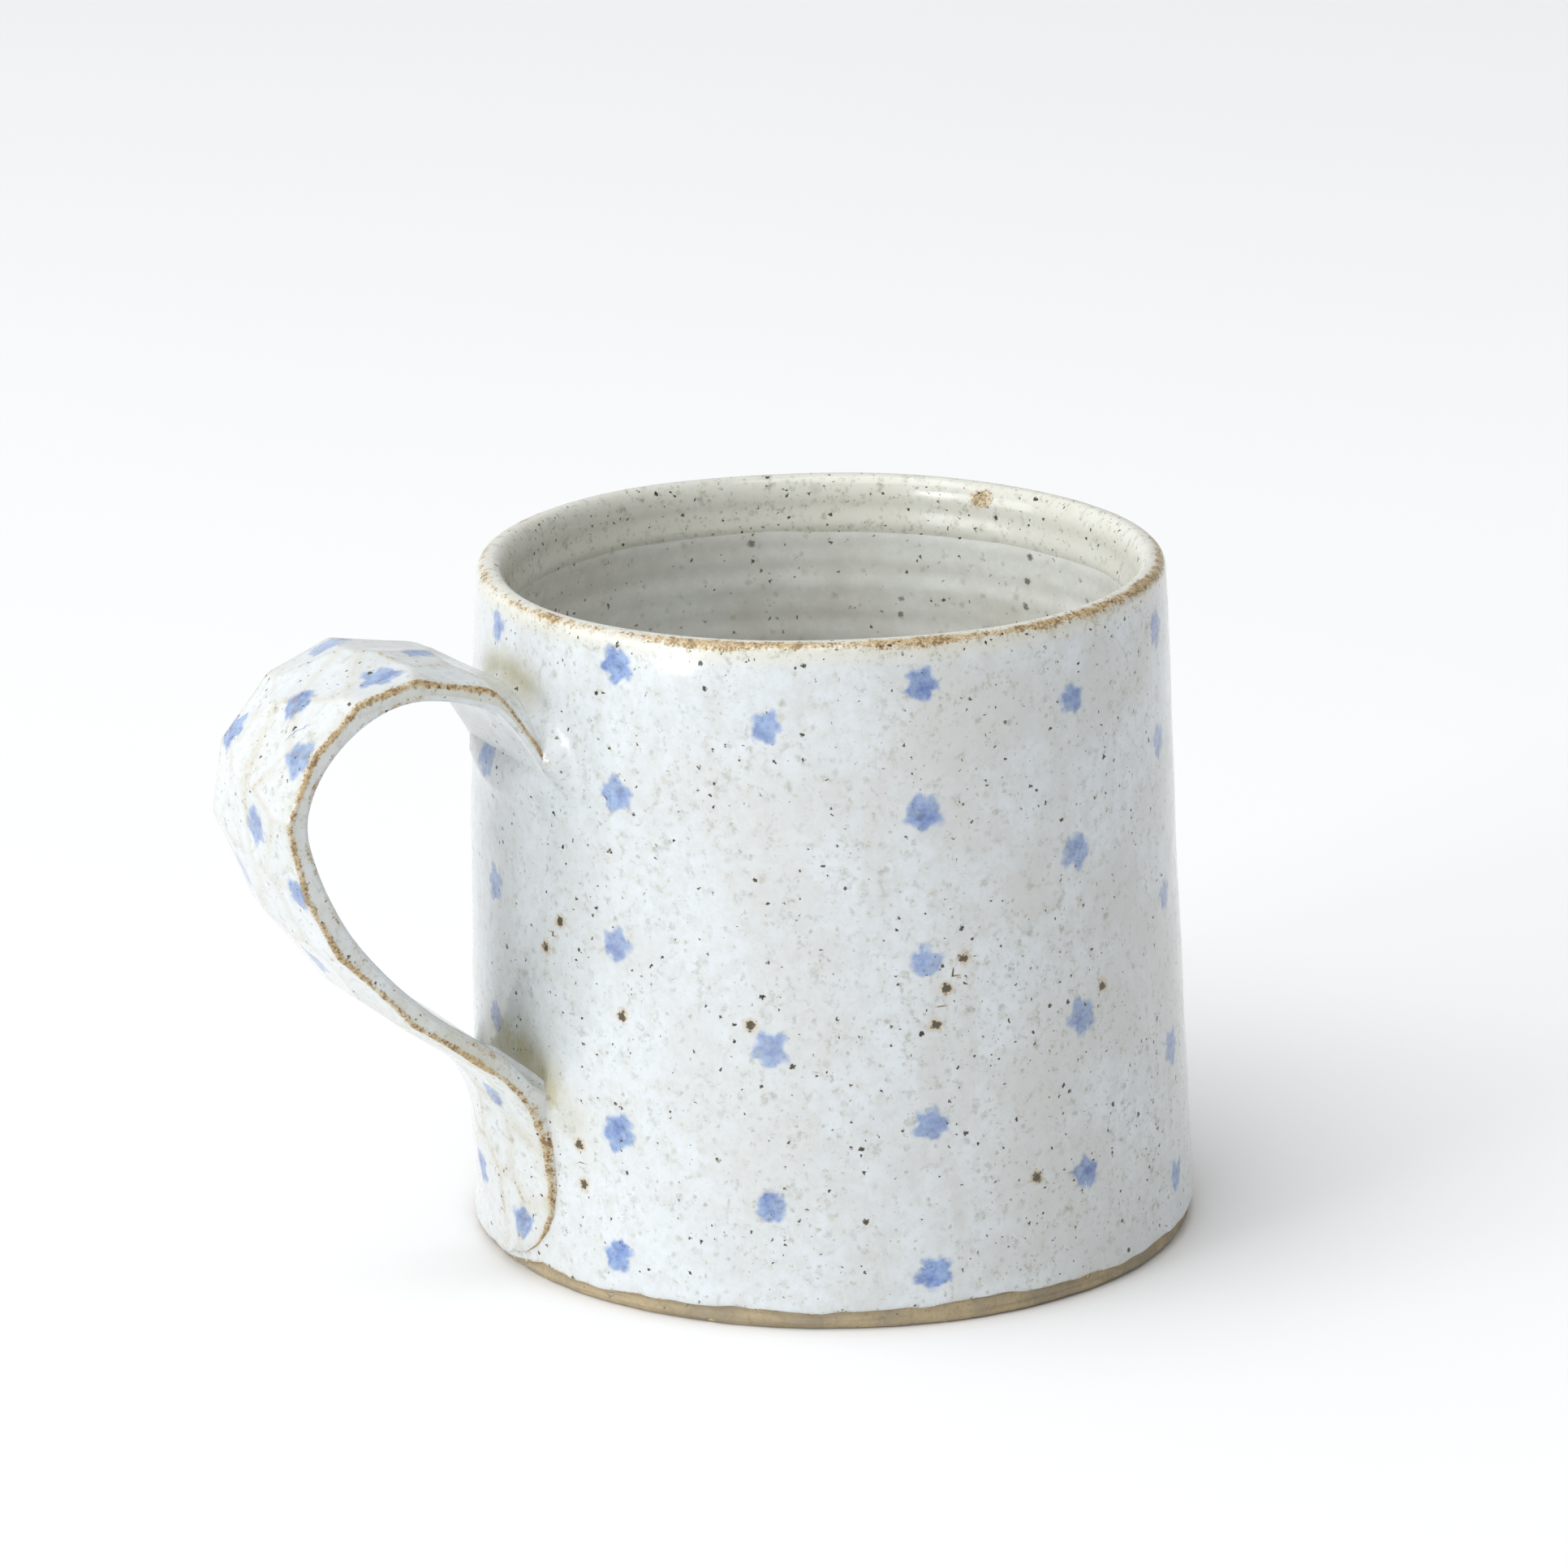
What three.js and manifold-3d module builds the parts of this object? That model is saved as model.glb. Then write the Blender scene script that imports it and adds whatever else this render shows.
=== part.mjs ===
// A hand-built stoneware mug: a tapered wall on a floor slab, a wide strap handle, and the glaze
// coats over them. Millimetres, +Z up, origin at the centre of the foot, handle towards -X.

import * as THREE from "three";
import { mergeVertices } from "three/addons/utils/BufferGeometryUtils.js";
import Module from "manifold-3d";

const wasm = await Module();
wasm.setup();

// Driving dimensions. The outline of the cup is the outside of its glaze.
const HEIGHT = 86;
const FOOT_RADIUS = 46;
const RIM_RADIUS = 43.25;
const LIP_THICKNESS = 3.8;
const BEVEL_DEPTH = 6.8;
const BEVEL_INSET = 0.8;
const WALL_CLAY = 3.2;
const SLAB_THICKNESS = 5;
const COVE_RADIUS = 7;
const FOOT_BEVEL = 0.8;
const BARE_FOOT_HEIGHT = 2.4;

const GLAZE = 0.4;
const GLAZE_GAP = 0.15;
const JOINT_GAP = 0.3;
const SKIN = GLAZE + GLAZE_GAP;
const ROUND_SEGMENTS = 60;
const LIP_SEGMENTS = 5;
const COVE_SEGMENTS = 5;

const STRAP_WIDTH = 22;
const STRAP_EDGE = 1.8;
const STRAP_CROWN = 1.3;
const STRAP_STEPS = 34;
const STRAP_FACETS = 6;
const COIL_STEPS = 6;
const PAD_ROUNDING_START = 14;
const PAD_TIP = 2.6;
const PAD_TIP_WIDTH = 0.15;
const PAD_NARROWING = 0.1;
const WRAP_END = 18;
const WRAP_START = 32;
const TOP_DROOP = 4;
const DROOP_END = 42;
const DROOP_START = 54;

// Distance from the cup's axis to the outside of the glaze at height z.
const outsideRadius = (z) => FOOT_RADIUS - ((FOOT_RADIUS - RIM_RADIUS) * z) / HEIGHT;
const clayOutside = (z) => outsideRadius(z) - SKIN;
const clayInside = (z) => clayOutside(z) - WALL_CLAY;

const LIP_HALF = LIP_THICKNESS / 2;
const LIP_Z = HEIGHT - LIP_HALF;
const LIP_RADIUS = outsideRadius(LIP_Z) - LIP_HALF;
const STEP_Z = HEIGHT - BEVEL_DEPTH;
const STEP_RADIUS = LIP_RADIUS - LIP_HALF + SKIN - BEVEL_INSET;
const WALL_FOOT_Z = SLAB_THICKNESS + JOINT_GAP;

// A lathe profile is a list of [radius, z] pairs.
const vectors = (profile) => profile.map(([r, z]) => new THREE.Vector2(r, z));

// Points of an arc in a profile, from one angle to another, both in degrees.
function arc(centre, radius, from, to, segments) {
  const points = [];
  for (let i = 0; i <= segments; i++) {
    const angle = THREE.MathUtils.degToRad(from + ((to - from) * i) / segments);
    points.push([centre[0] + radius * Math.cos(angle), centre[1] + radius * Math.sin(angle)]);
  }
  return points;
}

// The profile moved sideways by a distance, to the left of its direction of travel.
function beside(profile, distance, isLoop = false) {
  const points = vectors(profile);
  const count = points.length;
  return points.map((point, i) => {
    const before = isLoop ? points[(i + count - 1) % count] : points[Math.max(i - 1, 0)];
    const after = isLoop ? points[(i + 1) % count] : points[Math.min(i + 1, count - 1)];
    const arriving = point.equals(before) ? after.clone().sub(point) : point.clone().sub(before);
    const leaving = point.equals(after) ? arriving.clone() : after.clone().sub(point);
    const middle = arriving.normalize().add(leaving.normalize()).normalize();
    const reach = distance / middle.dot(leaving);
    return [point.x - middle.y * reach, point.y + middle.x * reach];
  });
}

// A closed body with merged vertices, ready for joining and cutting.
function solid(geometry) {
  const plain = geometry.clone();
  plain.deleteAttribute("normal");
  plain.deleteAttribute("uv");
  const merged = mergeVertices(plain, 1e-4);
  const mesh = new wasm.Mesh({
    numProp: 3,
    vertProperties: new Float32Array(merged.attributes.position.array),
    triVerts: new Uint32Array(merged.index.array),
  });
  return new wasm.Manifold(mesh);
}

// The largest body of a solid as a three.js geometry, without the loose chips that a cut may leave.
function geometryOf(shape) {
  const bodies = shape.decompose().sort((a, b) => b.volume() - a.volume());
  const mesh = bodies[0].getMesh();
  const geometry = new THREE.BufferGeometry();
  geometry.setAttribute("position", new THREE.BufferAttribute(mesh.vertProperties, 3));
  geometry.setIndex(new THREE.BufferAttribute(mesh.triVerts, 1));
  return geometry;
}

// A turned body about +Z from a closed or axis-to-axis profile.
function turned(profile) {
  const geometry = new THREE.LatheGeometry(vectors(profile), ROUND_SEGMENTS);
  geometry.rotateX(Math.PI / 2);
  return geometry;
}

const closed = (profile) => [...profile, profile[0]];

// The cup's body.
function floorSlab() {
  const radius = clayOutside(0);
  return turned([
    [0, 0],
    [radius - FOOT_BEVEL, 0],
    [clayOutside(FOOT_BEVEL), FOOT_BEVEL],
    [clayOutside(SLAB_THICKNESS), SLAB_THICKNESS],
    [0, SLAB_THICKNESS],
  ]);
}

function wallProfile() {
  const lip = arc([LIP_RADIUS, LIP_Z], LIP_HALF - SKIN, 0, 180, LIP_SEGMENTS);
  return [
    [clayOutside(WALL_FOOT_Z), WALL_FOOT_Z],
    ...lip,
    [STEP_RADIUS, STEP_Z],
    [clayInside(STEP_Z - 2), STEP_Z - 2],
    [clayInside(WALL_FOOT_Z), WALL_FOOT_Z],
  ];
}

function seamCoil() {
  const corner = [clayInside(WALL_FOOT_Z) - JOINT_GAP, WALL_FOOT_Z];
  const centre = [corner[0] - COVE_RADIUS, corner[1] + COVE_RADIUS];
  return turned(closed([corner, ...arc(centre, COVE_RADIUS, -8, -82, COVE_SEGMENTS)]));
}

// The glaze coats of the cup. The liner was poured first; the outside coat was dipped over the rim.
function linerGlaze() {
  const foot = WALL_FOOT_Z;
  const corner = clayInside(foot) - JOINT_GAP;
  const cove = arc([corner - COVE_RADIUS, foot + COVE_RADIUS], COVE_RADIUS, -90, 0, COVE_SEGMENTS);
  const top = STEP_Z - 2.4;
  const path = [[0, foot], ...cove, [clayInside(top), top]];
  const back = beside(path, GLAZE_GAP);
  const front = beside(path, SKIN);
  back[0][0] = 0;
  front[0][0] = 0;
  return turned([...back, ...front.reverse()]);
}

function outsideGlaze() {
  const lip = arc([LIP_RADIUS, LIP_Z], LIP_HALF - SKIN, 0, 180, LIP_SEGMENTS);
  const path = [[clayOutside(BARE_FOOT_HEIGHT), BARE_FOOT_HEIGHT], ...lip, [STEP_RADIUS, STEP_Z]];
  const back = beside(path, -GLAZE_GAP);
  const front = beside(path, -SKIN);
  return turned(closed([...front, ...back.reverse()]));
}

// The cup as one full body, grown outwards by a distance, for cutting what meets it.
function cupEnvelope(grown) {
  const top = HEIGHT + 10;
  return turned([
    [0, -10],
    [outsideRadius(-10) - SKIN + grown, -10],
    [outsideRadius(top) - SKIN + grown, top],
    [0, top],
  ]);
}

// The handle's middle line from its root in the wall, over the top and down to the pad.
const HANDLE_LINE = [
  [41, 68],
  [46, 73.6],
  [51, 77],
  [57, 79.2],
  [63, 79.6],
  [69, 77.3],
  [74, 72.3],
  [76.7, 65.5],
  [75.6, 58.5],
  [72.3, 50.8],
  [67, 43.6],
  [61, 37.6],
  [55, 33],
  [50.5, 29.2],
  [47.4, 24.4],
  [45.9, 18.5],
  [45.4, 11],
  [44.6, PAD_TIP],
];

// The strap's section: flat inside, bowed outside, grown all round by a distance.
function strapSection(grown) {
  const half = STRAP_WIDTH / 2 + grown;
  const edge = STRAP_EDGE / 2 + grown;
  const shape = new THREE.Shape();
  shape.moveTo(-half, -edge);
  for (let i = 0; i <= STRAP_FACETS; i++) {
    const across = (2 * i) / STRAP_FACETS - 1;
    shape.lineTo(across * half, edge + STRAP_CROWN * (1 - across * across));
  }
  for (let i = 0; i < STRAP_FACETS; i++) {
    shape.lineTo(half * (1 - (2 * i) / STRAP_FACETS), -edge);
  }
  return shape;
}

// Moves one point of the straight strap to where the potter pressed it: its edges droop where it
// meets the wall at the top, and wrap round the wall and close to a rounded tip at the pad.
function press(point) {
  if (point.z > HEIGHT / 2) {
    const across = point.y / (STRAP_WIDTH / 2);
    const nearWall = 1 - THREE.MathUtils.smoothstep(-point.x, DROOP_END, DROOP_START);
    point.z -= TOP_DROOP * nearWall * across * across;
    return;
  }
  const onPad = 1 - THREE.MathUtils.smoothstep(point.z, WRAP_END, WRAP_START);
  const down = Math.max(0, (PAD_ROUNDING_START - point.z) / (PAD_ROUNDING_START - PAD_TIP));
  const rounding = Math.sqrt(Math.max(PAD_TIP_WIDTH * PAD_TIP_WIDTH, 1 - down * down));
  point.y *= (1 - PAD_NARROWING * onPad) * rounding;
  const wall = outsideRadius(point.z);
  point.x += onPad * (wall - Math.sqrt(wall * wall - point.y * point.y));
}

function pressed(geometry) {
  const position = geometry.attributes.position;
  const point = new THREE.Vector3();
  for (let i = 0; i < position.count; i++) {
    point.fromBufferAttribute(position, i);
    press(point);
    position.setXYZ(i, point.x, point.y, point.z);
  }
  return geometry;
}

function strapBody(grown) {
  const line = HANDLE_LINE.map(([reach, z]) => new THREE.Vector3(-reach, 0, z));
  const path = new THREE.CatmullRomCurve3(line, false, "centripetal");
  const options = { steps: STRAP_STEPS, bevelEnabled: false, extrudePath: path };
  return solid(pressed(new THREE.ExtrudeGeometry(strapSection(grown), options)));
}

// A coil smoothed into a corner beside the handle: its side outline is a hollow arc and a back
// that the wall and the strap then cut, and it runs across the handle.
function cornerCoil(coil, grown) {
  const face = arc(coil.centre, coil.radius, coil.from, coil.to, COVE_SEGMENTS);
  const outline = beside([...face, ...coil.back], grown, true);
  const shape = new THREE.Shape(outline.map(([r, z]) => new THREE.Vector2(-r, z)));
  const width = coil.width + 2 * grown;
  const options = { depth: width, steps: COIL_STEPS, bevelEnabled: false };
  const geometry = new THREE.ExtrudeGeometry(shape, options);
  geometry.translate(0, 0, -width / 2);
  geometry.rotateX(Math.PI / 2);
  return solid(pressed(geometry));
}

const TOP_COIL = {
  width: 18,
  centre: [51.1, 65.8],
  radius: 7.5,
  from: 112,
  to: 180,
  back: [
    [41, 65.8],
    [41, 69.3],
    [48.9, 75.2],
  ],
};
const BASE_COIL = {
  width: 18,
  centre: [49.4, 36.6],
  radius: 4.4,
  from: 190,
  to: 280,
  back: [
    [50.2, 29],
    [43, 26],
    [43, 35.8],
  ],
};

// What meets the handle's parts, each grown by the clearance that its neighbour keeps.
const clayStrap = strapBody(0);
const strapWithGap = strapBody(JOINT_GAP);
const strapWithGlaze = strapBody(SKIN + JOINT_GAP);
const cupWithGap = solid(cupEnvelope(JOINT_GAP));

// The upper coil is bedded into the strap's underside; the lower one is laid on top of the strap.
const topCoil = () => geometryOf(cornerCoil(TOP_COIL, 0).subtract(cupWithGap));

function baseCoil() {
  return geometryOf(cornerCoil(BASE_COIL, 0).subtract(strapWithGap).subtract(cupWithGap));
}

function handleStrap() {
  return geometryOf(clayStrap.subtract(cupWithGap).subtract(cornerCoil(TOP_COIL, JOINT_GAP)));
}

function handleGlaze() {
  let shell = strapBody(SKIN).subtract(strapBody(GLAZE_GAP)).subtract(cupWithGap);
  for (const coil of [TOP_COIL, BASE_COIL]) {
    shell = shell.subtract(cornerCoil(coil, JOINT_GAP));
  }
  return geometryOf(shell);
}

// The outside coat, open where the clay of the handle reaches the clay of the wall.
function outsideGlazeAroundHandle() {
  let coat = solid(outsideGlaze()).subtract(strapWithGlaze);
  for (const coil of [TOP_COIL, BASE_COIL]) {
    coat = coat.subtract(cornerCoil(coil, JOINT_GAP));
  }
  return geometryOf(coat);
}

const CLAY = { color: "#b79f78", roughness: 0.85, metalness: 0 };
const OUTSIDE_GLAZE = { color: "#d9dcdd", roughness: 0.22, metalness: 0 };
const LINER_GLAZE = { color: "#cfcdc2", roughness: 0.25, metalness: 0 };

const mug = new THREE.Group();

function add(parent, name, geometry, look) {
  const mesh = new THREE.Mesh(geometry, new THREE.MeshStandardMaterial(look));
  mesh.name = name;
  parent.add(mesh);
}

const cup = new THREE.Group();
add(cup, "floor_slab", floorSlab(), CLAY);
add(cup, "cup_wall", turned(closed(wallProfile())), CLAY);
add(cup, "floor_seam_coil", seamCoil(), CLAY);
add(cup, "liner_glaze", linerGlaze(), LINER_GLAZE);
add(cup, "outside_glaze", outsideGlazeAroundHandle(), OUTSIDE_GLAZE);
mug.add(cup);

const handle = new THREE.Group();
add(handle, "handle_strap", handleStrap(), CLAY);
add(handle, "handle_top_coil", topCoil(), CLAY);
add(handle, "handle_base_coil", baseCoil(), CLAY);
add(handle, "handle_glaze", handleGlaze(), OUTSIDE_GLAZE);
mug.add(handle);

export default mug;
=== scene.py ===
"""A hand-built stoneware mug: clay floor, wall and strap handle under a milky glaze with iron
specks and small brushed blue flowers. Sizes are in millimetres and become metres in the meshes."""

import math
import random

import bpy
import numpy as np
from mathutils import Matrix, Vector


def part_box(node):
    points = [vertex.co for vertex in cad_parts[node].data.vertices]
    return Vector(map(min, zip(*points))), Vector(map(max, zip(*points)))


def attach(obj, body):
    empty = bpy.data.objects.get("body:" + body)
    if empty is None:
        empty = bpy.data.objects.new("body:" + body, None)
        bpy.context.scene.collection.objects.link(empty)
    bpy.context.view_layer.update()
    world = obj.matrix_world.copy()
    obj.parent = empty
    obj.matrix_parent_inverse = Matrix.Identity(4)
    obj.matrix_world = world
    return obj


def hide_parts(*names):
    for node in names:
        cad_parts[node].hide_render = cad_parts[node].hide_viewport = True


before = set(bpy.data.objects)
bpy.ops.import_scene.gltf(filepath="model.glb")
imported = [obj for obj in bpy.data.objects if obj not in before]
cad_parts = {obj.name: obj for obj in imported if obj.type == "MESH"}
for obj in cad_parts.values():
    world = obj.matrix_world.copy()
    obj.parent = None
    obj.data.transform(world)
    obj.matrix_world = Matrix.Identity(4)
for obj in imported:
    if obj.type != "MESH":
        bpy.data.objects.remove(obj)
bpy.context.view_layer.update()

MM = 0.001

# The cup, from the frame.
COAT_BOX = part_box("outside_glaze")
BARE_FOOT = COAT_BOX[0].z / MM
HEIGHT = round(COAT_BOX[1].z / MM)
TAPER = 0.032
FOOT_RADIUS = COAT_BOX[1].x / MM + TAPER * BARE_FOOT
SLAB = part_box("floor_slab")[1].z / MM
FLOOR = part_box("liner_glaze")[0].z / MM + 0.4
LIP_HALF = 1.9
CLAY_WALL = 3.2
COAT = 0.4
SKIN = 0.55
STEP_Z = HEIGHT - 6.8
STEP_INWARD = 0.75
LIP_OUTER = 2.0
LIP_INNER = 3.4
COVE = 6.5
SEAM_COIL = 7
CLAY_GAP = 0.3
WORN_EDGE = 1.1
MEAN_RADIUS = 44.6
BEVEL_RADIUS = 41.2
PER_DEGREE = math.radians(1) * MEAN_RADIUS

# The strap handle, from the frame and along the same middle line as its clay: (reach, height).
STRAP_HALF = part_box("handle_glaze")[1].y / MM
STRAP_CORE = 1.3
STRAP_CROWN = 1.3
HANDLE_LINE = [
    (41, 68), (46, 73.6), (51, 77), (57, 79.2), (63, 79.6), (69, 77.3), (74, 72.3),
    (76.7, 65.5), (75.6, 58.5), (72.3, 50.8), (67, 43.6), (61, 37.6), (55, 33),
    (50.5, 29.2), (47.4, 24.4), (45.9, 18.5), (45.4, 11), (44.6, 2.6),
]
PAD_OUTLINE = [
    (2.6, 0.2), (3.2, 2.7), (5, 5.8), (7.5, 8.6), (10, 10.5), (13, 11.3),
    (17.5, 10.9), (21, 10.3), (27, 10.4), (36, STRAP_HALF),
]

# How finely the bodies are divided. The first rings of the outside coat are its foot and wall.
ROUND = 340
STATIONS = 330
WALL_RINGS = 182
FLOOR_RINGS = 40


def smoothstep(value, low, high):
    share = np.clip((value - low) / (high - low), 0, 1)
    return share * share * (3 - 2 * share)


def bell(value, width, power=2):
    """1 at zero, falling to nothing a few widths away on either side."""
    return np.exp(-((value / width) ** power))


def facing(angle, degrees):
    """1 where the angle points this way, -1 where it points the opposite way."""
    return np.cos(angle - math.radians(degrees))


def wall_radius(z):
    return FOOT_RADIUS - TAPER * z


LIP_Z = HEIGHT - LIP_OUTER
LIP_MIDDLE = wall_radius(LIP_Z) - LIP_HALF


def hand_made(points):
    """Leans, pinches and waves the true shape a little, as hands do. The foot stays flat."""
    x, y, z = points[..., 0], points[..., 1], points[..., 2]
    angle = np.arctan2(y, x)
    rise = np.clip(z / HEIGHT, 0, 1)
    belly = 0.35 * facing(angle, 332) * np.cos(math.pi * np.minimum(1.2 * rise, 1))
    pinch = -0.5 * np.clip(facing(angle, 152), 0, 1) * smoothstep(rise, 0.8, 1)
    scale = 1 + (belly + pinch) / FOOT_RADIUS
    wave = 0.55 * smoothstep(facing(angle, 278), 0.0, 0.9)
    wave = wave + 0.12 * np.sin(3 * angle + 1) + 0.06 * np.sin(7 * angle + 2)
    lift = wave * smoothstep(rise, 0.7, 1)
    return np.stack([x * scale - 0.62 * rise, y * scale + 0.33 * rise, z + lift], -1)


# Meshes.

def mesh_object(name, points, faces, values=None, vectors=None):
    mesh = bpy.data.meshes.new(name)
    mesh.from_pydata((points * MM).tolist(), [], faces)
    for key, data in (values or {}).items():
        mesh.attributes.new(key, "FLOAT", "POINT").data.foreach_set("value", data.ravel())
    for key, data in (vectors or {}).items():
        mesh.attributes.new(key, "FLOAT_VECTOR", "POINT").data.foreach_set("vector", data.ravel())
    mesh.shade_smooth()
    piece = bpy.data.objects.new(name, mesh)
    bpy.context.scene.collection.objects.link(piece)
    return piece


def ring_body(name, rings, is_loop, values=None, vectors=None):
    """A closed body from rings of points. The rings follow each other in a loop, or both end
    rings are closed by a fan round their middle. Only a loop carries values and vectors."""
    count, size = rings.shape[:2]
    first = np.arange(count if is_loop else count - 1)[:, None] * size
    second = (first + size) % (count * size)
    here = np.arange(size)[None, :]
    there = (here + 1) % size
    quads = np.stack([first + here, first + there, second + there, second + here], -1)
    faces = quads.reshape(-1, 4).tolist()
    points = rings.reshape(-1, 3)
    if not is_loop:
        middles = [rings[0].mean(0), rings[-1].mean(0)]
        points = np.concatenate([points, middles])
        last = (count - 1) * size
        for i in range(size):
            j = (i + 1) % size
            faces.append([count * size, j, i])
            faces.append([count * size + 1, last + i, last + j])
    a, b, c, d = np.moveaxis(points[quads.reshape(-1, 4)], 1, 0)
    volume = (a * (np.cross(b, c) + np.cross(c, d))).sum()
    if volume < 0:
        faces = [face[::-1] for face in faces]
    return mesh_object(name, points, faces, values, vectors)


def turned(profile, segments):
    """Rings of a turned body: one ring for each (radius, height) of the profile."""
    profile = np.array(profile, float)
    angle = np.linspace(0, 2 * math.pi, segments, endpoint=False)
    radius, z = profile[:, 0, None], profile[:, 1, None]
    z = np.broadcast_to(z, (len(profile), segments))
    return np.stack([radius * np.cos(angle), radius * np.sin(angle), z], -1)


def polar(rings):
    """The angle, radius and height of every point."""
    x, y, z = rings[..., 0], rings[..., 1], rings[..., 2]
    return np.arctan2(y, x), np.hypot(x, y), z


def swollen(rings, swell, lift=0.0):
    """The rings moved outwards by a swell and upwards by a lift."""
    _, radius, z = polar(rings)
    grown = (radius + swell) / radius
    return np.stack([rings[..., 0] * grown, rings[..., 1] * grown, z + lift], -1)


def arc(centre, radius, start, end, steps):
    """Points on a round corner from one angle to another, in degrees."""
    angles = np.radians(np.linspace(start, end, steps))
    return [(centre[0] + radius * math.cos(a), centre[1] + radius * math.sin(a)) for a in angles]


def quarter(centre, half, exponent, start, end, steps):
    """Points on a rounded corner: a super-ellipse from one angle to another, in degrees."""
    points = []
    for angle in np.radians(np.linspace(start, end, steps)):
        c, s = math.cos(angle), math.sin(angle)
        across = half[0] * math.copysign(abs(c) ** (2 / exponent), c)
        points.append((centre[0] + across, centre[1] + half[1] * abs(s) ** (2 / exponent)))
    return points


def lip_points(inset, outer_steps, inner_steps):
    """The lip from the wall over to the inside, moved in by an inset."""
    outer_half = (LIP_HALF - inset, LIP_OUTER - inset)
    outer = quarter((LIP_MIDDLE, LIP_Z), outer_half, 2.6, 0, 90, outer_steps)
    inner_half = (LIP_HALF - inset, LIP_INNER - inset)
    inner = quarter((LIP_MIDDLE, HEIGHT - LIP_INNER), inner_half, 2.0, 90, 180, inner_steps)
    return outer + inner[1:]


# Brushed marks: each point of a surface learns where it lies beside the nearest mark.

FAR_AWAY = (30.0, 30.0, -1000.0)


def beside_marks(across, up, marks, reach, around=None):
    """(dx, dy, seed) to the nearest mark for each point, or far away beyond the mark's reach."""
    best = np.full(across.shape, 1e9)
    result = np.broadcast_to(FAR_AWAY, across.shape + (3,))
    for number, (mark_across, mark_up) in enumerate(marks):
        dx = across - mark_across
        if around is not None:
            dx = (dx + around / 2) % around - around / 2
        dy = up - mark_up
        gap = np.hypot(dx, dy)
        near = (gap < best) & (gap < reach)
        best = np.where(near, gap, best)
        seed = np.full(across.shape, 1.0 + 0.37 * number)
        result = np.where(near[..., None], np.stack([dx, dy, seed], -1), result)
    return result


FLOWER_REACH = 4.6
SPOT_REACH = 3.0
COLUMNS = [
    (175, (82, 65, 49, 31.5)),
    (207, (82, 66, 47, 23, 7)),
    (233, (76, 36, 16)),
    (258, (80.5, 65, 46.5, 26, 7)),
    (286, (76, 57, 36, 16)),
    (313.5, (80, 66, 46, 26, 9)),
]
HIGH_START = (80, 65, 46, 26, 8)
LOW_START = (76, 57, 36, 16)


def wall_flowers():
    """(angle in degrees, height) of each flower: columns round the cup that start high and low in turn,
    not quite even."""
    chance = random.Random(7)
    flowers = [(angle, z) for angle, heights in COLUMNS for z in heights]
    for column in range(7):
        heights = LOW_START if column % 2 == 0 else HIGH_START
        angle = 341 + 27.5 * column
        for z in heights:
            flowers.append((angle + chance.uniform(-1.5, 1.5), z + chance.uniform(-1, 1)))
    return flowers


def marks_on_wall(marks, reach, angle, z):
    """Where each point of the wall lies beside the nearest (angle, height) mark."""
    around = np.degrees(angle) % 360 * PER_DEGREE
    placed = [(degrees * PER_DEGREE, height) for degrees, height in marks]
    return beside_marks(around, z, placed, reach, 360 * PER_DEGREE)


# (angle, height) of the few large iron blotches.
WALL_SPOTS = [
    (264, 46.5), (261, 43), (259, 38.5), (276, 17), (195, 48), (191.5, 44), (208, 38),
    (291, 39), (199, 20), (230, 39), (200, 15), (40, 50), (70, 22), (110, 61), (350, 33),
]


# The cup.

def coat_front():
    """The outside coat's face, from the foot over the lip and down to its edge inside."""
    swell = 0.7
    foot = []
    for share in np.linspace(0, 1, 6):
        z = BARE_FOOT + swell * share
        foot.append((wall_radius(z) - 0.33 * (1 - math.sqrt(1 - (1 - share) ** 2)), z))
    wall = [(wall_radius(z), z) for z in np.linspace(BARE_FOOT + swell, LIP_Z, 176)[1:-1]]
    top = HEIGHT - LIP_INNER
    bevel = []
    for share in np.linspace(0, 1, 19)[1:]:
        inward = 0.5 * smoothstep(share, 0, 0.62) - 0.42 * smoothstep(share, 0.5, 1)
        bevel.append((LIP_MIDDLE - LIP_HALF - inward, top - (top - STEP_Z + 2.0) * share))
    return foot + wall + lip_points(0.0, 16, 14) + bevel


def coat_back():
    """The outside coat's clay side, from its edge inside back over the lip to the foot."""
    inside = LIP_MIDDLE - LIP_HALF - STEP_INWARD + COAT
    wall = [(wall_radius(z) - COAT, z) for z in np.linspace(LIP_Z, BARE_FOOT + 0.2, 9)[1:]]
    return [(inside + 0.5, STEP_Z - 1.9), (inside, STEP_Z)] + lip_points(COAT, 6, 6)[::-1] + wall


def foot_edge(angle):
    """How far the glaze's lower edge wanders up the foot. It ran lowest under the handle."""
    run = -1.7 * smoothstep(facing(angle, 160), 0.86, 0.97)
    return (
        run
        + 0.25 * np.sin(3 * angle + 0.4)
        + 0.2 * np.sin(8 * angle + 2)
        + 0.13 * np.sin(19 * angle + 1)
        + 0.08 * np.sin(41 * angle + 3)
        + 0.05 * np.sin(67 * angle)
    )


def unevenness(angle, z):
    """Low swells left in the wall by the potter's hands."""
    return (
        0.09 * np.sin(2 * angle + 0.035 * z + 0.6)
        + 0.06 * np.sin(3 * angle - 0.05 * z + 2.1)
        + 0.05 * np.sin(5 * angle + 0.09 * z + 4)
        + 0.035 * np.sin(9 * angle - 0.21 * z + 1)
        + 0.025 * np.sin(14 * angle + 0.33 * z + 3)
        + 0.015 * np.sin(23 * angle - 0.5 * z + 5)
    )


# In degrees round the cup: the thumb's swelling, and an iron patch on the bevel.
THUMB_ANGLE = 219
THUMB_WIDTH = 11
PATCH_ANGLE = 31


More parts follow.
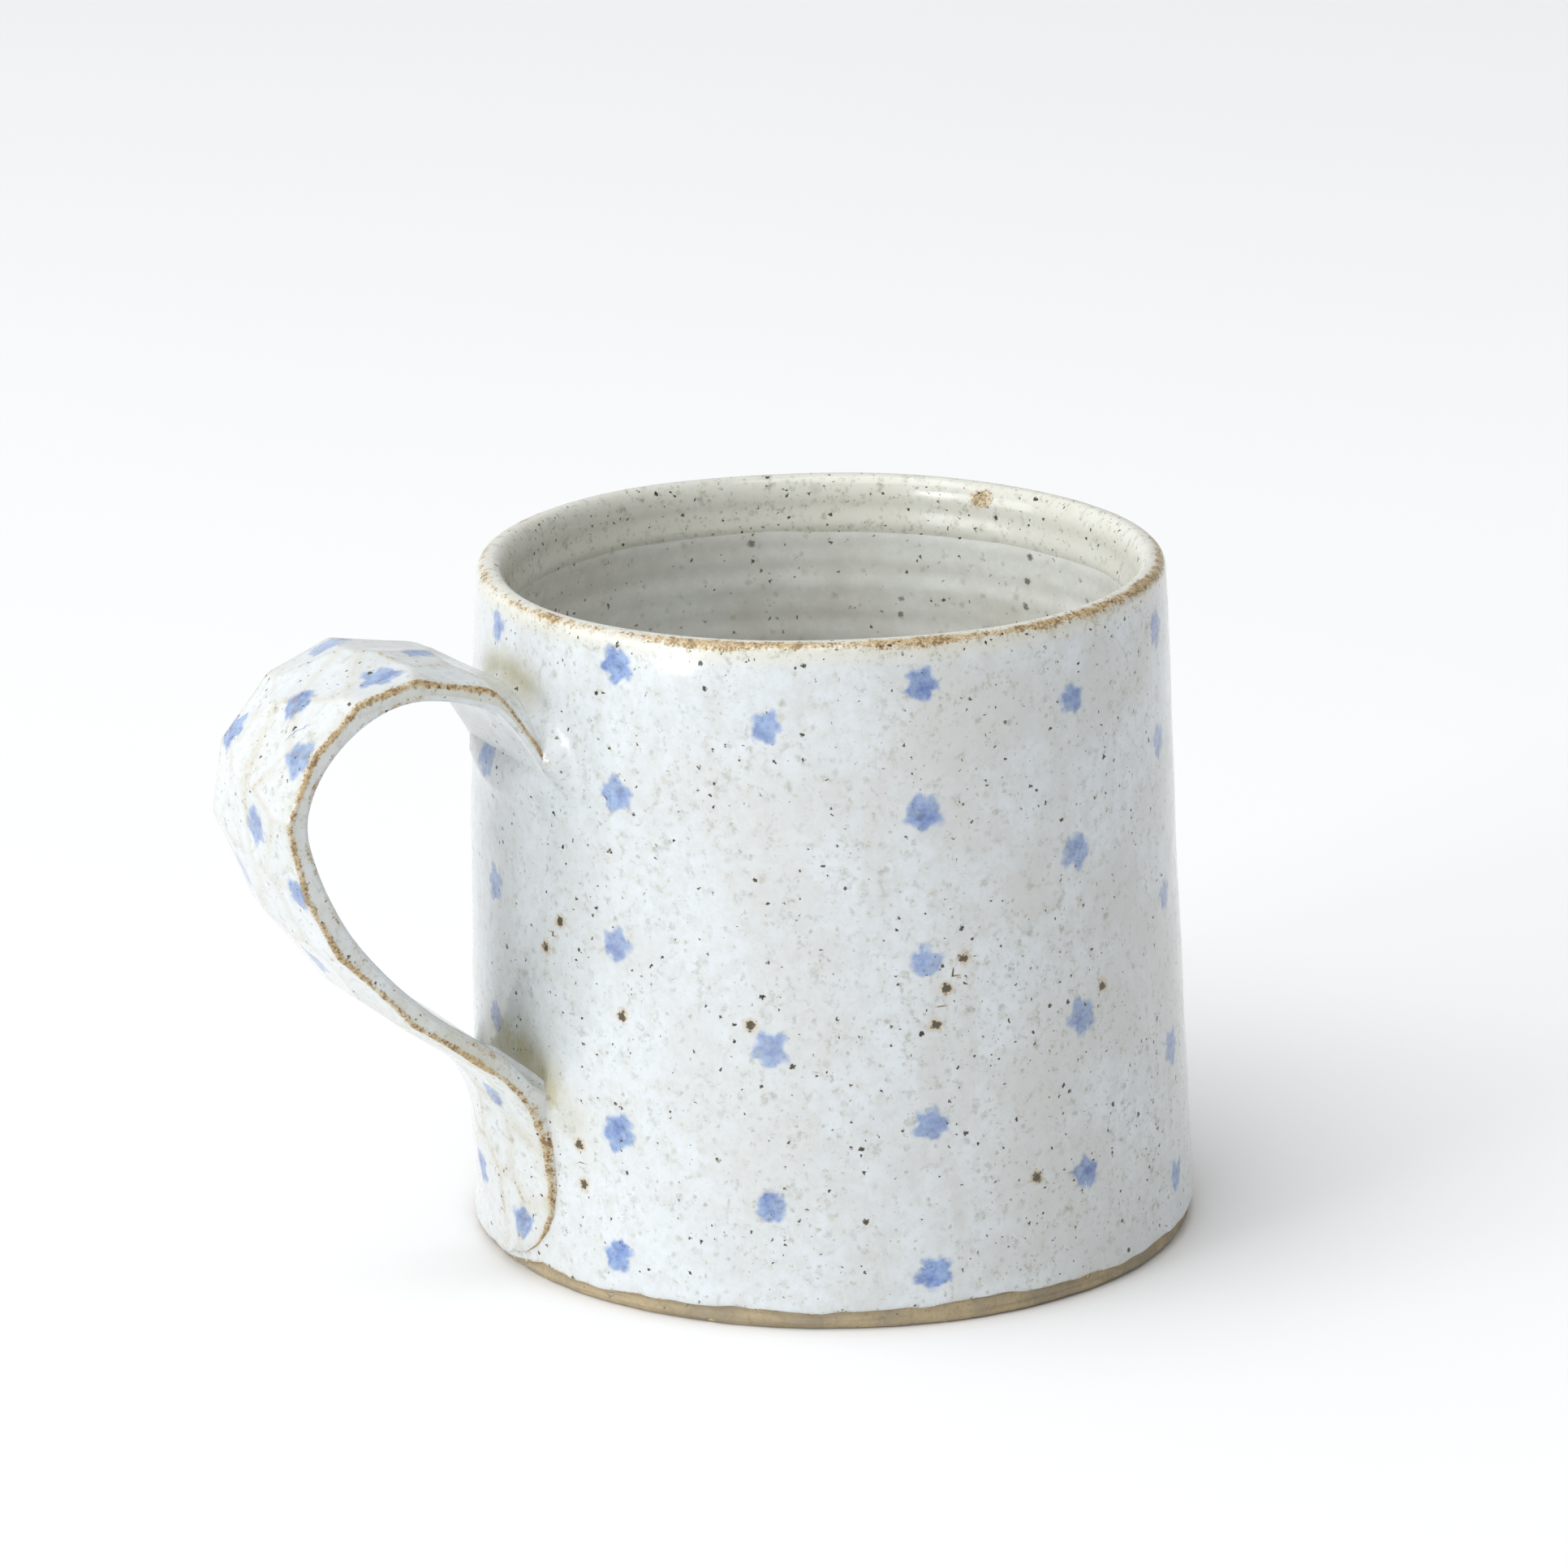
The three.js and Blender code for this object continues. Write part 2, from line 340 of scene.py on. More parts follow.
def thumb_hollow(angle, z):
    """A swelling under the lip at one place, where a thumb turned the edge in."""
    place = bell(np.degrees(angle) % 360 - THUMB_ANGLE, THUMB_WIDTH)
    return 0.75 * place * (smoothstep(z, 73, 80.8) - smoothstep(z, 81, 85))


ARCH_TOP = 74.6
ARCH_BEND = 0.048


def arch_gap(y, z):
    """Distance above the arch in which the top of the strap meets the wall."""
    return (z - (ARCH_TOP - ARCH_BEND * y * y)) / np.sqrt(1 + (2 * ARCH_BEND * y) ** 2)


def pad_half(z):
    heights, halves = zip(*PAD_OUTLINE)
    return np.interp(z, heights, halves)


def pad_shift(z):
    return -2.0 * (1 - smoothstep(z, 3, 13))


def fillet(gap, width):
    """1 in a crease, falling in a hollow curve to nothing at the width."""
    return np.clip(1 - gap / width, 0, 1) ** 2


def upper_welt(y, z):
    """The fillet and roll above the upper root, or the smooth hollow curve under it."""
    gap = arch_gap(y, z)
    above = 2.8 * fillet(gap, 3.0) * smoothstep(gap, -2.2, 0.1)
    above = above + 0.6 * smoothstep(np.abs(y), 4, 8) * bell(gap - 1.7, 0.95)
    above = above * smoothstep(-y, -11.5, -8.5) * (1 - smoothstep(-y, 11.6, 14.4))
    above = above * smoothstep(z, 62.0, 66.5)
    drop = 62.3 + 0.024 * y * y - z
    under = 1.3 * fillet(drop, 5.5) * smoothstep(drop, -6, -2)
    under = under * (1 - smoothstep(np.abs(y), 9.5, 13))
    return np.maximum(np.minimum(above, 2.6), under)


def lower_welt(y, z):
    """The fillet and roll beside the pad at the lower root."""
    slope = pad_half(z + 0.5) - pad_half(z - 0.5)
    side = (np.abs(y - pad_shift(z)) - pad_half(z)) / np.sqrt(1 + slope ** 2)
    strong = 0.35 + 0.65 * smoothstep(z, 16, 24)
    welt = strong * (fillet(side, 1.6) + 0.6 * bell(side - 1.6, 0.9))
    welt = welt * smoothstep(side, -2, -0.6) * smoothstep(z, 2.6, 5) * (1 - smoothstep(z, 25, 31))
    return np.minimum(welt, 1.0)


def root_welts(x, y, z):
    """The welts of clay pushed up on the wall beside the handle's two roots."""
    return (x < 0) * (upper_welt(y, z) + lower_welt(y, z))


def root_stain(x, y, z):
    """Where ash and iron gathered beside the roots and turned the glaze olive."""
    upper = 0.85 * bell(arch_gap(y, z) - 2.9, 2.0) * bell(y - 1, 8.5, 4)
    corner = z - (28.5 - 0.032 * y * y)
    lower = 1.1 * bell(corner - 0.9, 3.0) * bell(y + 3, 11.0, 4)
    return (x < 0) * np.minimum(upper + lower, 1.0)


def coat_values(rings, is_front, is_wall):
    """How ochre, stained and creamy the outside glaze is at each point, and how thin: thinner glaze with
    more specks, and also painted shade on the side turned from the lights.
    """
    angle, radius, z = polar(rings)
    lip_gap = np.hypot(radius - (wall_radius(HEIGHT) - 0.8), z - (HEIGHT - 0.5))
    lip = bell(lip_gap, 0.8) * (0.62 + 0.38 * smoothstep(facing(angle, 270), -0.2, 0.6))
    foot = 0.55 * bell(z - BARE_FOOT, 0.45) * is_wall
    on_bevel = is_front * (radius < BEVEL_RADIUS)
    cream = np.maximum(on_bevel, smoothstep(z, HEIGHT - LIP_INNER, HEIGHT - 1))
    aside = (np.degrees(angle) % 360 - PATCH_ANGLE) * PER_DEGREE / 2.2
    patch_gap = np.hypot(aside, (z - 84.2) / 1.3) + 9 * (radius > 41)
    return {
        "ochre": np.maximum(lip + foot, 0.9 * bell(patch_gap, 1.0, 4)),
        "stain": root_stain(rings[..., 0], rings[..., 1], z) * is_wall,
        "cream": cream,
        # Thin glaze and painted shade: rises towards the side facing 296 degrees, away from the lamps,
        # where it darkens the glaze and crowds its specks.
        "thin_glaze_and_shade": np.maximum(0.2 + 0.8 * smoothstep(facing(angle, 296), 0.2, 0.95), cream),
    }


def outside_coat():
    """The glaze outside, from the foot over the lip to the bevel inside."""
    front = coat_front()
    rings = turned(front + coat_back(), ROUND)
    angle, radius, z = polar(rings)
    number = np.arange(len(rings))[:, None]
    is_front = number < len(front)
    is_wall = number < WALL_RINGS
    welts = root_welts(rings[..., 0], rings[..., 1], z)
    swell = (unevenness(angle, z) + welts) * is_wall * (1 - smoothstep(z, 80, 84))
    swell = swell * smoothstep(z, BARE_FOOT, BARE_FOOT + 3) + thumb_hollow(angle, z) * is_wall
    bead = 0.1 * bell(z - BARE_FOOT - 1, 0.8) * is_wall
    low = foot_edge(angle) * np.clip(1 - (z - BARE_FOOT) / 5, 0, 1)
    shaped = swollen(rings, swell + bead, low)

    outside = (is_wall | (radius > BEVEL_RADIUS))[..., None]
    flowers = marks_on_wall(wall_flowers(), FLOWER_REACH, angle, z)
    spots = marks_on_wall(WALL_SPOTS, SPOT_REACH, angle, z)
    vectors = {
        "flower": np.where(outside, flowers, FAR_AWAY),
        "spot": np.where(outside, spots, FAR_AWAY),
    }
    values = coat_values(rings, is_front, is_wall)
    return ring_body("outside_coat", hand_made(shaped), True, values, vectors)


def liner_radius(z):
    return wall_radius(z) - SKIN - CLAY_WALL - SKIN


def inside_coat():
    """The liner: floor, cove and wall up to under the dipped edge, with faint throwing rings."""
    top = STEP_Z + 0.4
    centre = (liner_radius(FLOOR + COVE) - COVE, FLOOR + COVE)
    face = [(r, FLOOR) for r in np.linspace(1.5, centre[0], FLOOR_RINGS)]
    face += arc(centre, COVE, -90, 0, 24)[1:]
    face += [(liner_radius(z), z) for z in np.linspace(centre[1], top, 120)[1:]]
    back = [(liner_radius(z) + COAT, z) for z in np.linspace(top, centre[1], 8)]
    back += arc(centre, COVE + COAT, 0, -90, 8)[1:]
    back += [(r, FLOOR - COAT) for r in np.linspace(centre[0], 1.5, 4)[1:]]
    rings = turned(face + back, 300)
    angle, radius, z = polar(rings)
    number = np.arange(len(rings))[:, None]
    is_wall = (number < len(face)) * smoothstep(z, FLOOR + 3, FLOOR + 9)
    lines = 0.065 * np.sin(z * 0.95 + 0.3 * np.sin(angle + 1))
    lines = lines + 0.05 * np.sin(z * 1.9 + 0.6 * np.sin(2 * angle))
    swell = (lines + 0.6 * unevenness(angle + 1, z)) * is_wall
    spiral = 0.12 * np.sin(radius * 0.9 - angle) * smoothstep(radius, 1, 6)
    spiral = spiral * (1 - smoothstep(z, FLOOR, FLOOR + 3)) * (number < FLOOR_RINGS)
    return ring_body("inside_coat", hand_made(swollen(rings, swell, spiral)), False)


def floor_disc():
    """The bare clay floor: a sanded foot with a worn edge and a faint hollow underneath."""
    radius = wall_radius(0) - SKIN
    under = []
    for r in np.linspace(1.5, radius - 3, 40):
        under.append((r, 0.35 * (1 - smoothstep(r, radius - 9, radius - 4))))
    under += [(radius - inward, 0.0) for inward in (2.4, 1.8, 1.2)]
    edge = arc((radius - WORN_EDGE, WORN_EDGE), WORN_EDGE, -90, 0, 8)
    side = [(wall_radius(z) - SKIN, z) for z in np.linspace(WORN_EDGE, SLAB, 14)[1:]]
    top = [(r, SLAB) for r in np.linspace(radius - 1, 1.5, 6)]
    rings = turned(under + edge + side + top, ROUND)
    angle, radii, z = polar(rings)
    rough = 0.05 * np.sin(11 * angle + 1) + 0.04 * np.sin(29 * angle + 2 * z)
    rough = (rough + 0.03 * np.sin(53 * angle + z)) * smoothstep(radii, radius - 3, radius)
    return ring_body("floor_disc", hand_made(swollen(rings, rough)), False)


def wall_clay():
    """The clay of the wall under its glazes."""
    foot = SLAB + CLAY_GAP
    outside = [(wall_radius(z) - SKIN, z) for z in np.linspace(foot, LIP_Z, 30)[:-1]]
    step = (LIP_MIDDLE - LIP_HALF - STEP_INWARD + SKIN, STEP_Z)
    inside = [(wall_radius(z) - SKIN - CLAY_WALL, z) for z in np.linspace(STEP_Z - 2, foot, 30)]
    rings = turned(outside + lip_points(SKIN, 8, 8) + [step] + inside, 180)
    return ring_body("wall_clay", hand_made(rings), True)


def seam_coil():
    """The coil pressed into the inside corner of wall and floor."""
    foot = SLAB + CLAY_GAP
    corner = wall_radius(foot) - SKIN - CLAY_WALL - CLAY_GAP
    hollow = arc((corner - SEAM_COIL, foot + SEAM_COIL), SEAM_COIL, -8, -82, 12)
    return ring_body("seam_coil", hand_made(turned([(corner, foot)] + hollow, 120)), True)


# The handle.

def smooth_line(points, count):
    """Evenly spaced points on a smooth line through the given ones."""
    points = np.array(points, float)
    gaps = np.sqrt(np.linalg.norm(np.diff(points, axis=0), axis=1))
    knots = np.concatenate([[0], np.cumsum(gaps)])
    slopes = np.gradient(points, knots, axis=0)
    fine = np.linspace(0, knots[-1], 60 * len(points))
    left = np.clip(np.searchsorted(knots, fine, "right") - 1, 0, len(points) - 2)
    width = gaps[left][:, None]
    u = ((fine - knots[left]) / gaps[left])[:, None]
    curve = (
        (2 * u ** 3 - 3 * u ** 2 + 1) * points[left]
        + (u ** 3 - 2 * u ** 2 + u) * width * slopes[left]
        + (3 * u ** 2 - 2 * u ** 3) * points[left + 1]
        + (u ** 3 - u ** 2) * width * slopes[left + 1]
    )
    travelled = np.concatenate([[0], np.cumsum(np.linalg.norm(np.diff(curve, axis=0), axis=1))])
    even = np.linspace(0, travelled[-1], count)
    line = np.stack([np.interp(even, travelled, curve[:, k]) for k in range(2)], -1)
    return line, even


LINE, ALONG = smooth_line(HANDLE_LINE, STATIONS)
TANGENT = np.gradient(LINE, axis=0)
TANGENT = TANGENT / np.linalg.norm(TANGENT, axis=1)[:, None]
OUTWARD = np.stack([-TANGENT[:, 1], TANGENT[:, 0]], -1)


def knife_cuts():
    """(along, across, depth, two tilts) of each flat cut on the outer face, in four lanes."""
    chance = random.Random(21)
    cuts = []
    for lane in (-9.0, -3.2, 3.0, 9.0):
        along = chance.uniform(2, 6)
        while along < ALONG[-1] + 4:
            tilts = chance.uniform(-0.045, 0.045), chance.uniform(-0.07, 0.07)
            across = lane + chance.uniform(-1.1, 1.1)
            cuts.append((along, across, chance.uniform(0.0, 0.22), *tilts))
            along += chance.uniform(7, 10) if along < 55 else chance.uniform(9, 13)
    return cuts


def carved_face(across):
    """Height of the outer face over the middle line, and how near each point is to a ridge."""
    soft = 0.13
    best = np.full((STATIONS, len(across)), 9.0)
    second = best.copy()
    total = np.full(best.shape, -1e3)
    bend = np.linalg.norm(np.gradient(TANGENT, ALONG, axis=0), axis=1)
    for along, lane, depth, tilt_along, tilt_across in knife_cuts():
        i = min(np.searchsorted(ALONG, along), STATIONS - 1)
        facing = np.maximum(OUTWARD @ OUTWARD[i], 0.3)
        chord = np.maximum(((LINE[i] - LINE) @ OUTWARD[i]) / facing, 0)
        away = ALONG - along
        chord = np.where(np.abs(away) > 16, 9.0, chord)
        sink = depth + 0.45 * bend[i] * 8.5 ** 2 / 8
        slope = -2 * STRAP_CROWN * lane / STRAP_HALF ** 2 + tilt_across
        level = STRAP_CROWN * (1 - (lane / STRAP_HALF) ** 2) - sink
        cut = (
            (chord + tilt_along * away + 0.006 * away ** 2)[:, None]
            + (level + slope * (across - lane) + 0.012 * (across - lane) ** 2)[None, :]
        )
        second = np.minimum(second, np.maximum(best, cut))
        best = np.minimum(best, cut)
        total = np.logaddexp(total, -cut / soft)
    return -soft * total, bell(second - best, 0.2)


def edge_wander(seed):
    """How far one edge of the strap steps in and out along its length."""
    chance = random.Random(seed)
    marks = np.arange(0, ALONG[-1] + 12, 8.5)
    return np.interp(ALONG, marks, [chance.uniform(-0.4, 0.25) for _ in marks])


def bezier(start, middle, end, share):
    share = share[:, None]
    return (1 - share) ** 2 * start + 2 * share * (1 - share) * middle + share ** 2 * end


def under_line(across):
    """The strap's inner face for one place across it: it flows down the wall at the upper root,
    turns up the wall in a tight corner above the pad, and lies in the wall behind the pad."""
    face = LINE - STRAP_CORE * OUTWARD
    rooted = int(np.searchsorted(ALONG, 18))
    wall = wall_radius(70)
    start = face[rooted]
    lean = TANGENT[rooted]
    knee = start - lean * (start[0] - wall - 1.2) / lean[0]
    end = np.array([wall - 0.6, 61.8 + 8.2 * across ** 2])
    share = 1 - ALONG[:rooted] / ALONG[rooted]
    face[:rooted] = bezier(start, knee, end, share)

    leaves = int(np.argmax((LINE[:, 1] < 40) & (face[:, 0] < 48.6)))
    joined = int(np.argmax((LINE[:, 1] < 40) & (LINE[:, 1] < 24)))
    start = face[leaves]
    lean = TANGENT[leaves]
    knee = start - lean * (start[0] - wall_radius(27)) / lean[0]
    end = np.array([wall_radius(30) - 0.8, 30.2 - 4.0 * across ** 2])
    share = np.linspace(0, 1, joined - leaves)
    face[leaves:joined] = bezier(start, knee, end, share)
    sunk = np.stack([np.full(STATIONS, 40.0), LINE[:, 1]], -1)
    back_down = smoothstep(np.arange(STATIONS), joined, joined + 30)[:, None]
    face[joined:] = (end * (1 - back_down) + sunk * back_down)[joined:]
    return face


def moved_in(line, depth):
    """The line moved sideways into the strap by a depth."""
    slope = np.gradient(line, axis=0)
    slope = slope / np.maximum(np.linalg.norm(slope, axis=1), 1e-6)[:, None]
    return line + depth * np.stack([-slope[:, 1], slope[:, 0]], -1)


def press(points):
    """Bends the strap's edges down at the upper root and round the wall at the pad."""
    reach, y, z = points[..., 0], points[..., 1], points[..., 2]
    edge = y / STRAP_HALF
    droop = 5.2 * (1 - smoothstep(reach, 42.5, 51)) * edge ** 2 * (LINE[:, 1] > 43)[:, None]
    on_pad = 1 - smoothstep(LINE[:, 1], 18, 32)[:, None]
    wall = wall_radius(z)
    wrap = on_pad * (wall - np.sqrt(np.maximum(wall ** 2 - y ** 2, 1)))
    return np.stack([-(reach - wrap), y, z - droop], -1)


def seated(points, depth):
    """Keeps points from going deeper into the wall than a depth."""
    radius = np.hypot(points[..., 0], points[..., 1])
    least = wall_radius(points[..., 2]) - depth
    scale = np.maximum(least / radius, 1)
    return np.stack([points[..., 0] * scale, points[..., 1] * scale, points[..., 2]], -1)


CORNER = 0.45
INNER_CORNER = 0.8
# Places down a side face, between the outer face and the inner one.
SIDE_SHARES = np.linspace(0, 1, 8)[1:-1]
SIDE_DEPTH = 2.4


def across_shares(corner, middle_steps, corner_steps):
    """Places across the strap from -1 to 1, closer together on the two rounded corners."""
    flat = 1 - corner / STRAP_HALF
    bend = 1 - corner / STRAP_HALF * (1 - np.sin(np.radians(np.linspace(0, 90, corner_steps))))
    middle = np.linspace(-flat, flat, middle_steps)[1:-1]
    return np.concatenate([-bend[::-1], middle, bend])


def corner_drop(shares, corner):
    """How far a rounded corner falls away at each place across."""
    into = np.clip((np.abs(shares) - (1 - corner / STRAP_HALF)) * STRAP_HALF / corner, 0, 1)
    return corner * (1 - np.sqrt(1 - into ** 2))


def outer_heights(across, inset):
    """Height of the outer face over the middle line, flattened into the pad, and its ridges."""
    height, ridge = carved_face(across * STRAP_HALF)
    height = height - inset - corner_drop(across, CORNER)[None, :]
    root = 1 - smoothstep(ALONG, 3, 14)
    height = height + STRAP_CORE - root[:, None] * 0.4 * np.abs(across)[None, :] ** 3
    proud = np.interp(LINE[:, 1], (2.6, 5, 12, 19), (0.3, 0.65, 1.15, 1.8)) - STRAP_CORE
    pad_face = (wall_radius(LINE[:, 1]) + proud - LINE[:, 0])[:, None] + 0.6 * (height - STRAP_CORE)
    pad_share = (1 - smoothstep(LINE[:, 1], 13, 22))[:, None]
    height = height * (1 - pad_share) + (STRAP_CORE + pad_face - inset * 0.4) * pad_share
    return height, ridge


def strap_halves(inset):
    """The strap's half-widths on its two sides, and how far the pad lies off the middle. What is
    inset is narrower still at the upper root, where the drooping edges leave it less room."""
    half = STRAP_HALF - inset - 2.2 * inset * (1 - smoothstep(ALONG, 8, 18))
    on_pad = 1 - smoothstep(LINE[:, 1], 33, 37)
    pad = np.clip(pad_half(LINE[:, 1]) - inset, 0.1, None)
    halves = []
    for seed in (3, 4):
        side = half + edge_wander(seed)
        halves.append(np.where(on_pad > 0, np.minimum(side, pad), side)[:, None])
    shift = (pad_shift(LINE[:, 1]) * on_pad)[:, None]
    return halves[0], halves[1], shift


def strap_rings(inset):
    """Rings of the strap along its length, all faces moved in by an inset. Each ring crosses the
    outer face, goes down one side, back along the inner face and up the other side."""
    outer = across_shares(CORNER, 52, 6)
    inner = across_shares(INNER_CORNER, 26, 5)[::-1]
    height, ridge = outer_heights(outer, inset)
    half_left, half_right, shift = strap_halves(inset)

    def placed(flat, shares):
        sideways = np.where(shares < 0, half_left, half_right) * shares + shift
        return np.concatenate([flat[..., :1], sideways[..., None], flat[..., 1:]], -1)

    def side(start, end):
        share = SIDE_SHARES[None, :, None]
        return start[:, None] * (1 - share) + end[:, None] * share

    over = placed(LINE[:, None, :] + height[..., None] * OUTWARD[:, None, :], outer)
    lift = inset + corner_drop(inner, INNER_CORNER)
    flat = np.stack([moved_in(under_line(share), by) for share, by in zip(inner, lift)], 1)
    under = placed(flat, inner)
    sides = side(over[:, -1], under[:, 0]), side(under[:, -1], over[:, 0])
    return np.concatenate([over, sides[0], under, sides[1]], 1), (outer, inner, ridge)


# (along, across) of each flower on the handle.
STRAP_FLOWERS = [
    (20, -1), (27, 8), (27, -7), (35, -2), (41, 9), (40, -9), (49, -3),
    (58, 8), (56, -10), (69, 0), (84, 5), (98, -5), (112, 6), (116, -6),
]


def strap_marks(outer, inner, ridge):
    """Ochre edges, faint ridge lines and flowers for each point of the strap's rings."""
    from_corner = STRAP_HALF * (1 - np.abs(outer))
    face_edge = 0.9 * bell(from_corner, 0.5)
    down = SIDE_SHARES * SIDE_DEPTH
    side_edge = 0.9 * bell(down, 0.75) + 0.35 * bell(SIDE_DEPTH - down, 0.4)
    inner_edge = 0.4 * bell(STRAP_HALF * (1 - np.abs(inner)), 0.5)
    across = np.concatenate([face_edge, side_edge, inner_edge, side_edge[::-1]])
    ochre = np.repeat(across[None, :], STATIONS, 0)
    face = slice(0, len(outer))
    ochre[:, face] = np.maximum(ochre[:, face], 0.26 * ridge * (from_corner > 1))
    ochre[:, len(outer) : -len(SIDE_SHARES)] *= smoothstep(ALONG, 12, 30)[:, None]
    marks = np.array(np.broadcast_to(FAR_AWAY, ochre.shape + (3,)))
    along = np.repeat(ALONG[:, None], len(outer), 1)
    sideways = np.repeat((outer * STRAP_HALF)[None, :], STATIONS, 0)
    flowers = [(across_mm, along_mm) for along_mm, across_mm in STRAP_FLOWERS]
    marks[:, face] = beside_marks(sideways, along, flowers, FLOWER_REACH)
    return ochre, marks


def strap_coat():
    """The glaze on the handle: its face, and its clay side a coat's thickness in."""
    face, (outer, inner, ridge) = strap_rings(0.0)
    face = hand_made(seated(press(face), 0.3))
    back, _ = strap_rings(COAT)
    back = hand_made(seated(press(back), 0.45))[::-1]
    ochre, marks = strap_marks(outer, inner, ridge)
    nothing = np.zeros(ochre.shape)
    low = smoothstep(LINE[:, 1], 22, 34) * (1 - smoothstep(LINE[:, 1], 34, 44))
    stain = 0.3 * low[:, None] + nothing
    edge = bell(STRAP_HALF * (1 - np.abs(outer)), 1.2)
    stain[:, : len(outer)] += 0.3 * ridge + 0.3 * edge
    near_root = 1 - smoothstep(ALONG, 10, 36)[:, None]
    down = 0.15 + near_root * (0.25 + 0.5 * SIDE_SHARES ** 4)
    side = len(SIDE_SHARES)
    stain[:, len(outer) : len(outer) + side] += 0.15
    stain[:, -side:] += down[:, ::-1]
    values = {
        "ochre": np.concatenate([ochre, nothing]),
        "stain": np.concatenate([stain, nothing]),
        "cream": np.concatenate([0.04 + nothing, nothing]),
        "thin_glaze_and_shade": np.concatenate([0.25 + nothing, nothing]),
    }
    far = np.broadcast_to(FAR_AWAY, marks.shape)
    vectors = {"flower": np.concatenate([marks, far]), "spot": np.concatenate([far, far])}
    return ring_body("strap_coat", np.concatenate([face, back]), True, values, vectors)


def strap_clay():
    """The strap's clay and its two coils under the glaze."""
    rings, _ = strap_rings(SKIN)
    return ring_body("strap_clay", hand_made(seated(press(rings), 0.5)), False)


# Finishes: short-hands for building shader trees, then the node groups, then the materials.

def put(tree, kind, inputs=None, **settings):
    made = tree.nodes.new("ShaderNode" + kind)
    for key, value in settings.items():
        setattr(made, key, value)
    for key, value in (inputs or {}).items():
        if isinstance(value, bpy.types.NodeSocket):
            tree.links.new(value, made.inputs[key])
        else:
            made.inputs[key].default_value = value
    return made


def maths(tree, operation, *values):
    return put(tree, "Math", dict(enumerate(values)), operation=operation).outputs[0]


def ramp(tree, value, low, high, to_low=0.0, to_high=1.0):
    inputs = {"Value": value, "From Min": low, "From Max": high, "To Min": to_low, "To Max": to_high}
    return put(tree, "MapRange", inputs, interpolation_type="SMOOTHSTEP").outputs[0]


def blend(tree, share, first, second, blend_type="MIX"):
    inputs = {0: share, 6: first, 7: second}
    return put(tree, "Mix", inputs, data_type="RGBA", blend_type=blend_type).outputs[2]


def noise(tree, vector, scale, detail=2.0, roughness=0.5):
    inputs = {"Vector": vector, "Scale": scale, "Detail": detail, "Roughness": roughness}
    return put(tree, "TexNoise", inputs)


def new_group(name, inputs, outputs):
    """A node group with named sockets: (name, type, default) in, (name, type) out."""
    tree = bpy.data.node_groups.new(name, "ShaderNodeTree")
    for key, kind, default in inputs:
        socket = tree.interface.new_socket(key, in_out="INPUT", socket_type="NodeSocket" + kind)
        socket.default_value = default
    for key, kind in outputs:
        tree.interface.new_socket(key, in_out="OUTPUT", socket_type="NodeSocket" + kind)
    return tree, tree.nodes.new("NodeGroupInput").outputs, tree.nodes.new("NodeGroupOutput").inputs


def use_group(tree, group, inputs):
    return put(tree, "Group", inputs, node_tree=group).outputs


def tinted(tree, colour, mask, strength, tint):
    """The colour with a tint over it as far as the mask goes."""
    return blend(tree, maths(tree, "MULTIPLY", mask, strength), colour, tint)


def stretched(tree, vector, factors):
    return put(tree, "VectorMath", {0: vector, 1: factors}, operation="MULTIPLY").outputs[0]


def add_relief(tree, shader, height, strength, distance):
    bump = put(tree, "Bump", {"Height": height, "Strength": strength, "Distance": distance})
    tree.links.new(bump.outputs[0], shader.inputs["Normal"])


def add_gloss(shader, roughness):
    """The glassy skin of a glaze."""
    shader.inputs["Coat Weight"].default_value = 0.3
    shader.inputs["Coat Roughness"].default_value = roughness


def length_of(tree, across, up):
    squares = maths(tree, "MULTIPLY_ADD", across, across, maths(tree, "MULTIPLY", up, up))
    return maths(tree, "SQRT", squares)


def varied(tree, seed, pace, operation="SINE"):
    """A value from -1 to 1 that differs from flower to flower."""
    return maths(tree, operation, maths(tree, "MULTIPLY", seed, pace))


def specks_group():
    """Round-ish specks, one in some of the cells of a random lattice."""
    tree, given, out = new_group(
        "iron_specks",
        [
            ("Vector", "Vector", (0, 0, 0)),
            ("Cells per metre", "Float", 300.0),
            ("Size", "Float", 0.2),
            ("Share", "Float", 0.5),
            ("Softness", "Float", 0.3),
        ],
        [("Mask", "Float"), ("Tone", "Float")],
    )
    wobble = noise(tree, given["Vector"], 2300.0, 3.0).outputs["Color"]
    centred = put(tree, "VectorMath", {0: wobble, 1: (0.5, 0.5, 0.5)}, operation="SUBTRACT")
    small = put(tree, "VectorMath", {0: centred.outputs[0], "Scale": 0.0009}, operation="SCALE")
    moved = put(tree, "VectorMath", {0: given["Vector"], 1: small.outputs[0]}, operation="ADD")
    cells = put(tree, "TexVoronoi", {"Vector": moved.outputs[0], "Scale": given["Cells per metre"]})
    parts = put(tree, "SeparateColor", {"Color": cells.outputs["Color"]}).outputs
    uneven = maths(tree, "POWER", parts[0], 1.4)
    radius = maths(tree, "MULTIPLY", given["Size"], maths(tree, "MULTIPLY_ADD", uneven, 0.7, 0.3))
    inner = maths(tree, "MULTIPLY", radius, maths(tree, "SUBTRACT", 1.0, given["Softness"]))
    mask = ramp(tree, cells.outputs["Distance"], radius, inner)
    kept = maths(tree, "LESS_THAN", parts[1], given["Share"])
    tree.links.new(maths(tree, "MULTIPLY", mask, kept), out["Mask"])
    tree.links.new(parts[2], out["Tone"])
    return tree


